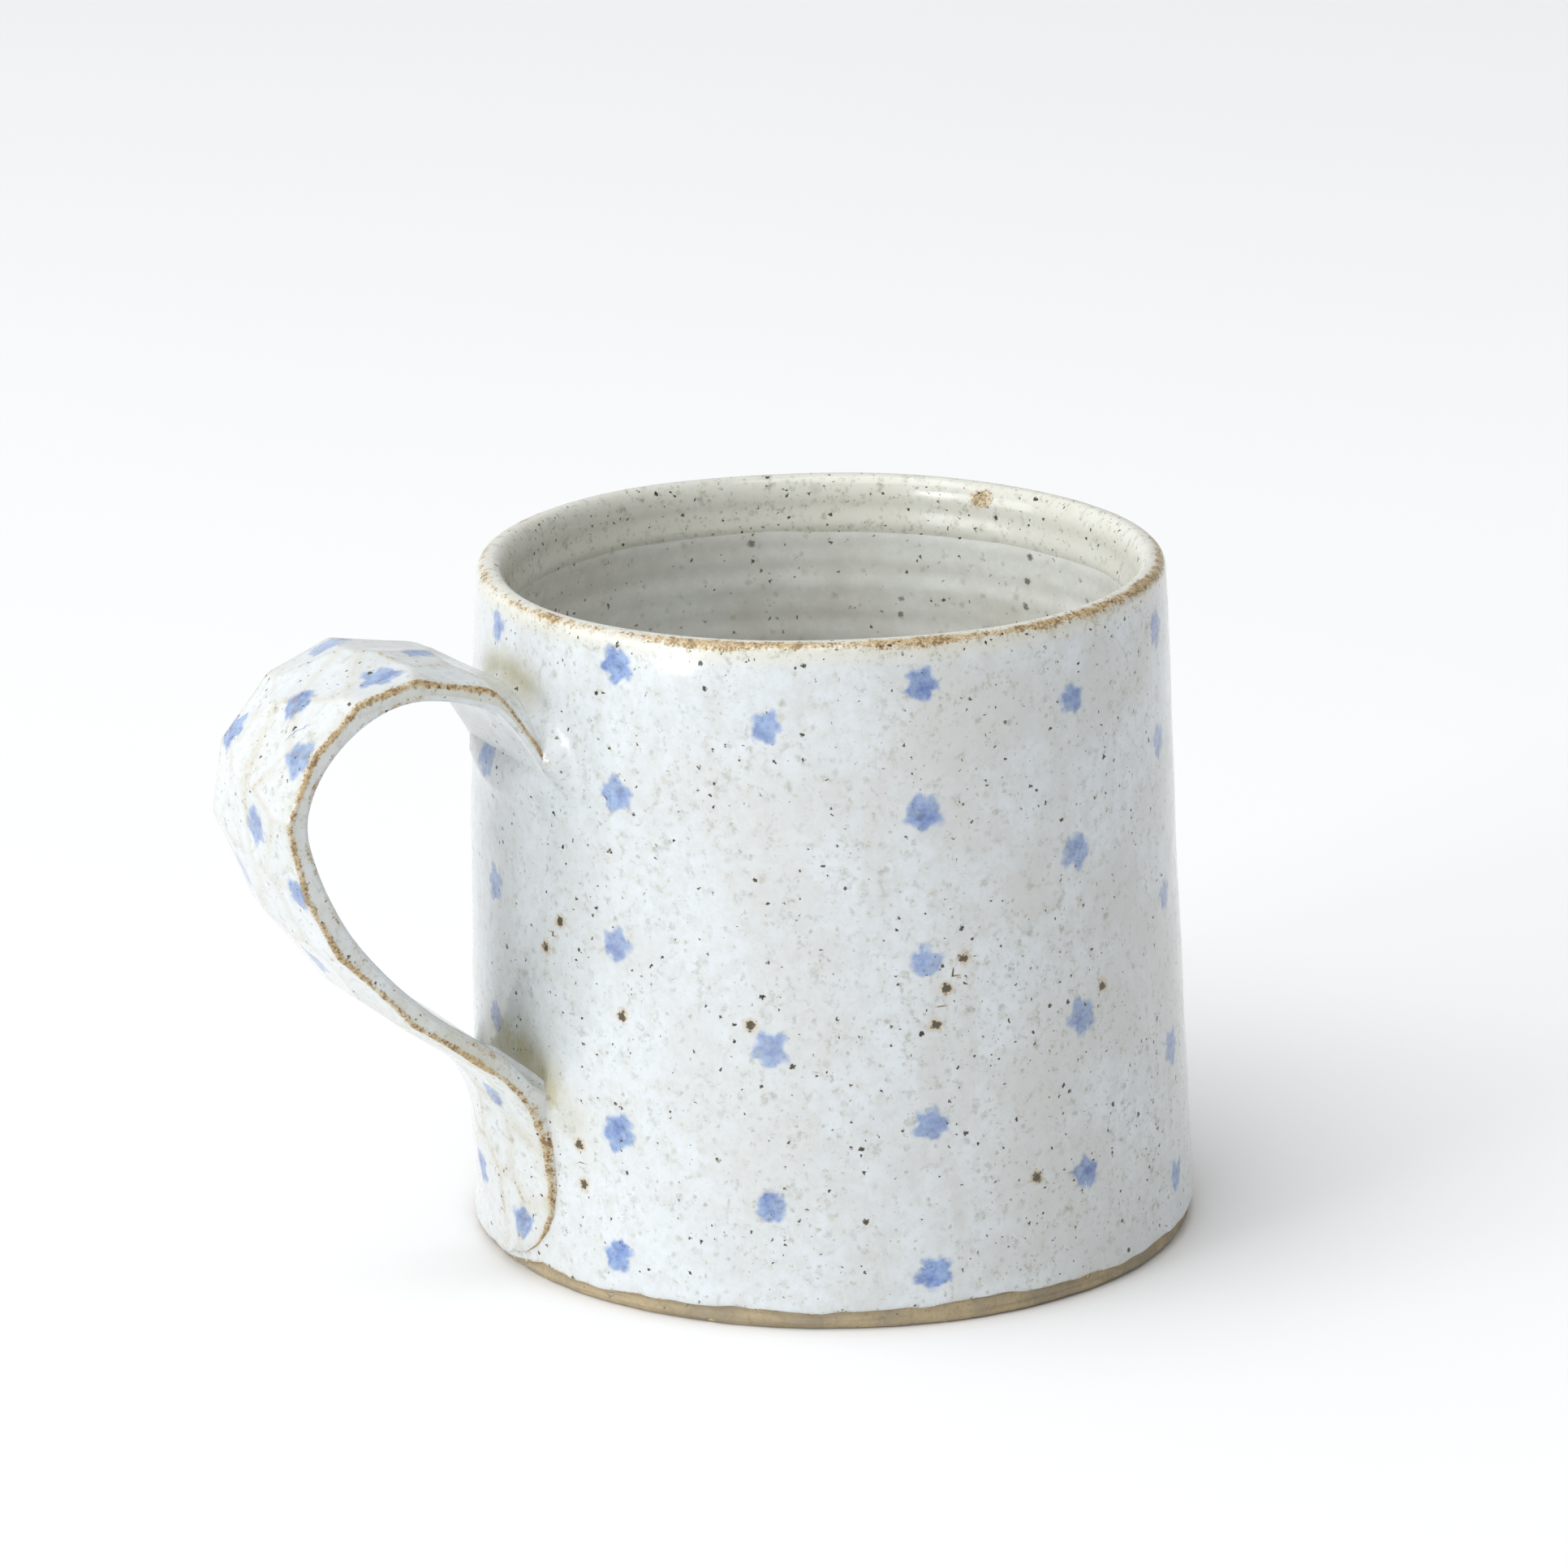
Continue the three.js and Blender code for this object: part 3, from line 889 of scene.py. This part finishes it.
def clouds_group():
    """Milky and thin places in a glaze: broad clouds, fine mottle and slow runs down the wall."""
    tree, given, out = new_group(
        "glaze_clouds",
        [("Vector", "Vector", (0, 0, 0)), ("Runs", "Float", 0.5)],
        [("Clouds", "Float"), ("Mottle", "Float")],
    )
    broad = ramp(tree, noise(tree, given["Vector"], 55.0, 3.0, 0.6).outputs[0], 0.38, 0.66)
    fine = ramp(tree, noise(tree, given["Vector"], 480.0, 5.0, 0.8).outputs[0], 0.38, 0.66)
    tall = stretched(tree, given["Vector"], (1, 1, 0.22))
    runs = ramp(tree, noise(tree, tall, 190.0, 3.0, 0.6).outputs[0], 0.42, 0.7)
    down = maths(tree, "MULTIPLY", runs, given["Runs"])
    tree.links.new(maths(tree, "MAXIMUM", broad, down), out["Clouds"])
    tree.links.new(fine, out["Mottle"])
    return tree


def flower_group():
    """One brushed flower: five loose petals in a thin wash, darker where the brush lay down."""
    tree, given, out = new_group(
        "brushed_flower", [("Place", "Vector", (30, 30, 0))], [("Mask", "Float"), ("Wash", "Float")]
    )
    place = put(tree, "SeparateXYZ", {0: given["Place"]}).outputs
    seed = place[2]
    bends = noise(tree, given["Place"], 0.55, 1.0).outputs["Color"]
    bent = put(tree, "SeparateColor", {"Color": bends}).outputs
    frayed = noise(tree, given["Place"], 1.5, 3.0, 0.6).outputs[0]
    dx = maths(tree, "ADD", place[0], maths(tree, "MULTIPLY_ADD", bent[0], 2.0, -1.0))
    dy = maths(tree, "ADD", place[1], maths(tree, "MULTIPLY_ADD", bent[1], 2.0, -1.0))
    reach = length_of(tree, dx, dy)
    angle = maths(tree, "ARCTAN2", dy, dx)
    turn = maths(tree, "MULTIPLY", seed, 2.9)
    petals = maths(tree, "COSINE", maths(tree, "MULTIPLY_ADD", angle, 2.5, turn))
    petals = maths(tree, "ABSOLUTE", petals)
    size = maths(tree, "MULTIPLY_ADD", varied(tree, seed, 11.0), 0.22, 2.2)
    radius = maths(tree, "MULTIPLY", size, maths(tree, "MULTIPLY_ADD", petals, 0.24, 0.76))
    gap = maths(tree, "SUBTRACT", reach, radius)
    gap = maths(tree, "ADD", gap, maths(tree, "MULTIPLY_ADD", frayed, 0.75, -0.36))
    mask = ramp(tree, gap, 0.5, -0.42)
    full = maths(tree, "MULTIPLY_ADD", varied(tree, seed, 13.0), 0.09, 0.91)
    is_near = maths(tree, "MULTIPLY", maths(tree, "GREATER_THAN", seed, 0.5), full)
    washed = noise(tree, given["Place"], 1.0, 4.0, 0.65).outputs[0]
    dab_x = maths(tree, "MULTIPLY", varied(tree, seed, 7.0), 0.8)
    dab_y = maths(tree, "MULTIPLY", varied(tree, seed, 5.0, "COSINE"), 0.8)
    aside, above = maths(tree, "SUBTRACT", dx, dab_x), maths(tree, "SUBTRACT", dy, dab_y)
    dab = ramp(tree, length_of(tree, aside, above), 1.5, 0.1, 0.0, 0.5)
    wash = maths(tree, "ADD", ramp(tree, washed, 0.38, 0.72, 0.0, 0.75), dab)
    tree.links.new(maths(tree, "MULTIPLY", mask, is_near), out["Mask"])
    tree.links.new(wash, out["Wash"])
    return tree


def edge_group():
    """Where glaze breaks thin over an edge: a grainy line that widens and fades along the edge."""
    tree, given, out = new_group(
        "edge_break",
        [("Vector", "Vector", (0, 0, 0)), ("Edge", "Float", 0.0)],
        [("Mask", "Float"), ("Burn", "Float")],
    )
    slow = noise(tree, given["Vector"], 110.0, 2.0).outputs[0]
    quick = noise(tree, given["Vector"], 800.0, 3.0, 0.6).outputs[0]
    grain = noise(tree, given["Vector"], 2900.0, 3.0, 0.7).outputs[0]
    share = maths(tree, "MULTIPLY_ADD", slow, 1.3, maths(tree, "ADD", given["Edge"], -0.68))
    share = maths(tree, "ADD", share, maths(tree, "MULTIPLY_ADD", quick, 1.3, -0.65))
    share = maths(tree, "ADD", share, maths(tree, "MULTIPLY_ADD", grain, 1.6, -0.8))
    is_edge = ramp(tree, given["Edge"], 0.02, 0.3)
    tree.links.new(maths(tree, "MULTIPLY", ramp(tree, share, 0.3, 0.8), is_edge), out["Mask"])
    burnt = maths(tree, "MULTIPLY_ADD", grain, 1.3, quick)
    burn = maths(tree, "MULTIPLY", ramp(tree, burnt, 1.06, 1.36), ramp(tree, share, 0.45, 0.9))
    tree.links.new(maths(tree, "MULTIPLY", burn, is_edge), out["Burn"])
    return tree


SPECKS = specks_group()
CLOUDS = clouds_group()
FLOWER = flower_group()
EDGE_BREAK = edge_group()


def new_material(name):
    material = bpy.data.materials.new(name)
    material.use_nodes = True
    tree = material.node_tree
    shader = tree.nodes["Principled BSDF"]
    place = put(tree, "TexCoord").outputs["Object"]
    return material, tree, shader, place


def attribute(tree, name):
    return put(tree, "Attribute", attribute_name=name).outputs


def speck_layer(tree, place, colour, cells, size, share, softness, strength, dark, light):
    """One layer of specks over a colour, and the layer's mask."""
    specks = use_group(tree, SPECKS, {
        "Vector": place, "Cells per metre": cells, "Size": size, "Share": share, "Softness": softness,
    })
    tint = blend(tree, specks["Tone"], dark, light)
    mask = maths(tree, "MULTIPLY", specks["Mask"], strength)
    return blend(tree, mask, colour, tint), mask


COOL_WHITE = (0.695, 0.74, 0.77, 1)
WARM_WHITE = (0.58, 0.58, 0.555, 1)
SMUDGE = (0.34, 0.345, 0.28, 1)
CREAM = (0.70, 0.68, 0.575, 1)
OLIVE = (0.49, 0.45, 0.285, 1)
OCHRE = (0.52, 0.365, 0.15, 1)
BURNT = (0.17, 0.09, 0.035, 1)
IRON = (0.018, 0.013, 0.007, 1)
DARK_OLIVE = (0.085, 0.062, 0.026, 1)
RUST = (0.12, 0.05, 0.016, 1)
MOSS = (0.26, 0.26, 0.19, 1)
PALE_BLUE = (0.43, 0.575, 0.89, 1)
DEEP_BLUE = (0.16, 0.26, 0.66, 1)
LINER_MILK = (0.785, 0.795, 0.77, 1)
LINER_THIN = (0.715, 0.71, 0.655, 1)
LINER_BAND = (0.62, 0.60, 0.52, 1)
CLAY_TAN = (0.49, 0.395, 0.245, 1)
CLAY_GREY = (0.36, 0.305, 0.21, 1)
CLAY_GRAIN = (0.27, 0.205, 0.13, 1)
CLAY_SCRAPE = (0.29, 0.225, 0.15, 1)
GRIT_TAN = (0.62, 0.50, 0.30, 1)
GRIT_PALE = (0.72, 0.66, 0.50, 1)


def with_flowers(tree, colour):
    """The colour with the brushed blue flowers on it."""
    flower = use_group(tree, FLOWER, {"Place": attribute(tree, "flower")["Vector"]})
    blue = blend(tree, flower["Wash"], PALE_BLUE, DEEP_BLUE)
    painted = blend(tree, 1.0, colour, blue, "MULTIPLY")
    return blend(tree, flower["Mask"], colour, painted)


def with_spots(tree, colour):
    """The colour with the large iron blotches in their tan rings, and the blotches' mask."""
    place = attribute(tree, "spot")["Vector"]
    uneven = noise(tree, place, 1.5, 4.0, 0.7).outputs[0]
    parts = put(tree, "SeparateXYZ", {0: place}).outputs
    reach = maths(tree, "MULTIPLY_ADD", uneven, -1.9, length_of(tree, parts[0], parts[1]))
    is_near = maths(tree, "GREATER_THAN", parts[2], 0.5)
    tan = maths(tree, "MULTIPLY", ramp(tree, reach, 0.35, -0.5, 0.0, 0.6), is_near)
    spot = maths(tree, "MULTIPLY", ramp(tree, reach, -0.28, -0.5), is_near)
    colour = blend(tree, tan, colour, OCHRE)
    return tinted(tree, colour, spot, 0.95, blend(tree, uneven, IRON, DARK_OLIVE)), spot


def white_glaze(name):
    """The outside glaze: milky white that breaks ochre at edges, with specks and flowers."""
    material, tree, shader, place = new_material(name)
    clouds = use_group(tree, CLOUDS, {"Vector": place, "Runs": 0.75})
    # The thin value is partly thinner glaze and partly painted shade: it makes the side turned from the
    # lights warmer, darker and more speckled.
    thin_glaze_and_shade = attribute(tree, "thin_glaze_and_shade")["Fac"]
    warm = maths(tree, "MULTIPLY", clouds["Clouds"], maths(tree, "MULTIPLY_ADD", thin_glaze_and_shade, 0.35, 0.35))
    colour = blend(tree, warm, COOL_WHITE, WARM_WHITE)
    colour = tinted(tree, colour, clouds["Mottle"], 0.55, WARM_WHITE)
    cream = attribute(tree, "cream")["Fac"]
    colour = tinted(tree, colour, cream, 0.7, CREAM)
    stain_noise = noise(tree, place, 260.0, 4.0, 0.65).outputs[0]
    stain = maths(tree, "MULTIPLY", attribute(tree, "stain")["Fac"], ramp(tree, stain_noise, 0.16, 0.56))
    colour = blend(tree, stain, colour, OLIVE)

    edge_value = attribute(tree, "ochre")["Fac"]
    gather = ramp(tree, noise(tree, place, 40.0, 2.0).outputs[0], 0.36, 0.6, 0.42, 1.0)
    gather = maths(tree, "MULTIPLY", gather, maths(tree, "MULTIPLY_ADD", thin_glaze_and_shade, 0.6, 0.4))
    gather = maths(tree, "MAXIMUM", gather, maths(tree, "MAXIMUM", stain, cream))
    few = maths(tree, "MULTIPLY_ADD", gather, 0.6, 0.14)
    smudges = ramp(tree, noise(tree, place, 620.0, 5.0, 0.72).outputs[0], 0.52, 0.74)
    smudges = maths(tree, "MULTIPLY", smudges, maths(tree, "MULTIPLY_ADD", gather, 0.55, 0.36))
    colour = blend(tree, smudges, colour, SMUDGE)
    colour, _ = speck_layer(tree, place, colour, 560.0, 0.46, gather, 0.95, 0.36, MOSS, WARM_WHITE)
    colour, _ = speck_layer(tree, place, colour, 1100.0, 0.46, gather, 0.85, 0.6, MOSS, OLIVE)
    colour, _ = speck_layer(tree, place, colour, 230.0, 0.27, 0.4, 0.95, 0.4, MOSS, OLIVE)

    colour = with_flowers(tree, colour)

    edge = use_group(tree, EDGE_BREAK, {"Vector": place, "Edge": edge_value})
    colour = tinted(tree, colour, edge["Mask"], 0.85, OCHRE)
    colour = tinted(tree, colour, edge["Burn"], 0.85, BURNT)
    crowd = maths(tree, "MULTIPLY_ADD", edge_value, 0.7, few)
    crowd = maths(tree, "ADD", cream, crowd)
    colour, _ = speck_layer(tree, place, colour, 360.0, 0.27, 0.5, 0.9, 0.42, DARK_OLIVE, OLIVE)
    colour, fine = speck_layer(tree, place, colour, 850.0, 0.25, crowd, 0.45, 1.0, IRON, DARK_OLIVE)
    colour, bold = speck_layer(tree, place, colour, 400.0, 0.18, few, 0.4, 1.0, IRON, DARK_OLIVE)

    colour, spot = with_spots(tree, colour)
    tree.links.new(colour, shader.inputs["Base Color"])

    dull = ramp(tree, clouds["Mottle"], 0, 1, 0.14, 0.24)
    dull = maths(tree, "MULTIPLY_ADD", edge["Mask"], 0.3, dull)
    tree.links.new(dull, shader.inputs["Roughness"])
    peel = noise(tree, place, 330.0, 2.0).outputs[0]
    height = maths(tree, "MULTIPLY_ADD", maths(tree, "ADD", fine, bold), -0.25, peel)
    height = maths(tree, "MULTIPLY_ADD", spot, -0.5, height)
    add_relief(tree, shader, height, 0.25, 0.0002)
    add_gloss(shader, 0.06)
    return material


def liner_glaze(name):
    """The inside glaze: the same milk, thinner and warmer, with soft specks."""
    material, tree, shader, place = new_material(name)
    clouds = use_group(tree, CLOUDS, {"Vector": place, "Runs": 0.3})
    flat = stretched(tree, place, (0.25, 0.25, 1.6))
    bands = ramp(tree, noise(tree, flat, 150.0, 3.0).outputs[0], 0.4, 0.65)
    colour = blend(tree, clouds["Clouds"], LINER_MILK, LINER_THIN)
    colour = tinted(tree, colour, bands, 0.28, LINER_BAND)
    colour = tinted(tree, colour, clouds["Mottle"], 0.16, MOSS)
    colour, _ = speck_layer(tree, place, colour, 560.0, 0.44, 0.8, 0.95, 0.45, MOSS, OLIVE)
    colour, _ = speck_layer(tree, place, colour, 330.0, 0.25, 0.75, 0.65, 0.85, MOSS, IRON)
    colour, fine = speck_layer(tree, place, colour, 850.0, 0.27, 0.6, 0.5, 0.9, IRON, RUST)
    tree.links.new(colour, shader.inputs["Base Color"])
    tree.links.new(ramp(tree, clouds["Mottle"], 0, 1, 0.16, 0.3), shader.inputs["Roughness"])
    peel = noise(tree, place, 300.0, 2.0).outputs[0]
    height = maths(tree, "MULTIPLY_ADD", fine, -0.3, peel)
    add_relief(tree, shader, height, 0.3, 0.0002)
    add_gloss(shader, 0.1)
    return material


def bare_clay(name):
    """Unglazed tan stoneware: sandy grain, scraped lines and pale grit."""
    material, tree, shader, place = new_material(name)
    grain = noise(tree, place, 1500.0, 4.0, 0.7).outputs[0]
    tone = ramp(tree, noise(tree, place, 160.0, 3.0, 0.6).outputs[0], 0.35, 0.65)
    colour = blend(tree, tone, CLAY_TAN, CLAY_GREY)
    colour = blend(tree, ramp(tree, grain, 0.45, 0.75, 0, 0.5), colour, CLAY_GRAIN)
    flat = stretched(tree, place, (0.1, 0.1, 3.0))
    scraped = noise(tree, flat, 420.0, 3.0, 0.6).outputs[0]
    colour = blend(tree, ramp(tree, scraped, 0.48, 0.7, 0, 0.6), colour, CLAY_SCRAPE)
    colour, grit = speck_layer(tree, place, colour, 520.0, 0.36, 0.3, 0.3, 1.0, GRIT_TAN, GRIT_PALE)
    colour, _ = speck_layer(tree, place, colour, 600.0, 0.16, 0.5, 0.3, 0.8, IRON, RUST)
    tree.links.new(colour, shader.inputs["Base Color"])
    tree.links.new(ramp(tree, grain, 0.3, 0.7, 0.72, 0.92), shader.inputs["Roughness"])
    height = maths(tree, "ADD", maths(tree, "MULTIPLY_ADD", grain, 0.6, scraped), grit)
    add_relief(tree, shader, height, 0.9, 0.0004)
    return material


def finish_piece(piece, material, slot, *nodes):
    piece.data.materials.append(material)
    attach(piece, "root")
    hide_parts(*nodes)


def build_mug():
    glaze = white_glaze("speckled_white_glaze")
    clay = bare_clay("bare_stoneware")
    finish_piece(outside_coat(), glaze, "speckled_glaze", "outside_glaze")
    finish_piece(inside_coat(), liner_glaze("grey_white_liner"), "liner_glaze", "liner_glaze")
    finish_piece(strap_coat(), glaze, "speckled_glaze", "handle_glaze")
    finish_piece(floor_disc(), clay, "bare_clay", "floor_slab")
    finish_piece(wall_clay(), clay, "bare_clay", "cup_wall")
    finish_piece(seam_coil(), clay, "bare_clay", "floor_seam_coil")
    finish_piece(strap_clay(), clay, "bare_clay", "handle_strap", "handle_top_coil", "handle_base_coil")


# The studio: camera, light and a pale floor.

CAMERA_AZIMUTH = -28.0
CAMERA_ELEVATION = 17.62
CAMERA_DISTANCE = 0.941
CAMERA_PITCH = 16.85
CAMERA_PAN = 0.36
CAMERA_ROLL = -0.45
LENS = 170.65
AIM_HEIGHT = 0.045
FLOOR_HALF = 6.0

# (name, degrees left of the camera, degrees up, distance, width, height, watts, colour).
PANELS = [
    ("window", 45, 17, 1.9, 0.40, 0.34, 4.2, (1.0, 0.99, 0.97)),
    ("side_light", 62, 14, 2.4, 2.0, 0.9, 13.5, (0.98, 0.99, 1.0)),
    ("high_light", 40, 72, 2.0, 1.8, 1.8, 20.0, (0.98, 0.99, 1.0)),
]


def add_camera():
    data = bpy.data.cameras.new("camera")
    data.lens = LENS
    data.sensor_width = 36
    camera = bpy.data.objects.new("camera", data)
    bpy.context.scene.collection.objects.link(camera)
    azimuth, rise = math.radians(CAMERA_AZIMUTH), math.radians(CAMERA_ELEVATION)
    level = CAMERA_DISTANCE * math.cos(rise)
    place = Vector((
        level * math.sin(azimuth),
        -level * math.cos(azimuth),
        CAMERA_DISTANCE * math.sin(rise) + HEIGHT * MM / 2,
    ))
    turn = Matrix.Rotation(azimuth + math.radians(CAMERA_PAN), 4, "Z")
    tilt = Matrix.Rotation(math.radians(90 - CAMERA_PITCH), 4, "X")
    roll = Matrix.Rotation(math.radians(CAMERA_ROLL), 4, "Z")
    camera.matrix_world = Matrix.Translation(place) @ turn @ tilt @ roll
    bpy.context.scene.camera = camera


def add_panel(name, left_of_camera, rise, distance, width, height, power, colour):
    """A soft light panel that faces the mug."""
    data = bpy.data.lights.new(name, "AREA")
    data.shape = "RECTANGLE"
    data.size = width
    data.size_y = height
    data.energy = power
    data.color = colour
    panel = bpy.data.objects.new(name, data)
    bpy.context.scene.collection.objects.link(panel)
    azimuth = math.radians(CAMERA_AZIMUTH - 90 - left_of_camera)
    up = math.radians(rise)
    aim = Vector((0, 0, AIM_HEIGHT))
    level = math.cos(up)
    away = Vector((math.cos(azimuth) * level, math.sin(azimuth) * level, math.sin(up)))
    panel.location = aim + away * distance
    panel.rotation_euler = away.to_track_quat("Z", "Y").to_euler()


def add_floor():
    half = FLOOR_HALF
    corners = [(-half, -half, 0), (half, -half, 0), (half, half, 0), (-half, half, 0)]
    mesh = bpy.data.meshes.new("floor")
    mesh.from_pydata(corners, [], [(0, 1, 2, 3)])
    floor = bpy.data.objects.new("floor", mesh)
    bpy.context.scene.collection.objects.link(floor)
    material, tree, shader, place = new_material("pale_floor")
    shade = ramp(tree, noise(tree, place, 3.0, 2.0).outputs[0], 0.3, 0.7)
    tone = blend(tree, shade, (0.93, 0.93, 0.93, 1), (0.94, 0.94, 0.94, 1))
    tree.links.new(tone, shader.inputs["Base Color"])
    shader.inputs["Roughness"].default_value = 0.9
    shader.inputs["Specular IOR Level"].default_value = 0.1
    mesh.materials.append(material)


def add_light():
    """An even pale room that is brighter to the camera's left, a low window and a high soft light."""
    world = bpy.data.worlds.new("studio")
    world.use_nodes = True
    tree = world.node_tree
    azimuth = math.radians(CAMERA_AZIMUTH)
    left = (-math.cos(azimuth), -math.sin(azimuth), 0.0)
    looked = put(tree, "TexCoord").outputs["Generated"]
    toward = put(tree, "VectorMath", {0: looked, 1: left}, operation="DOT_PRODUCT")
    toward = toward.outputs["Value"]
    strength = maths(tree, "MULTIPLY_ADD", toward, 0.45, 0.65)
    background = tree.nodes["Background"]
    background.inputs["Color"].default_value = (0.975, 0.99, 1.0, 1)
    tree.links.new(strength, background.inputs["Strength"])
    bpy.context.scene.world = world
    for panel in PANELS:
        add_panel(*panel)
    bpy.context.scene.view_settings.view_transform = "Standard"


add_camera()
add_light()
add_floor()
build_mug()
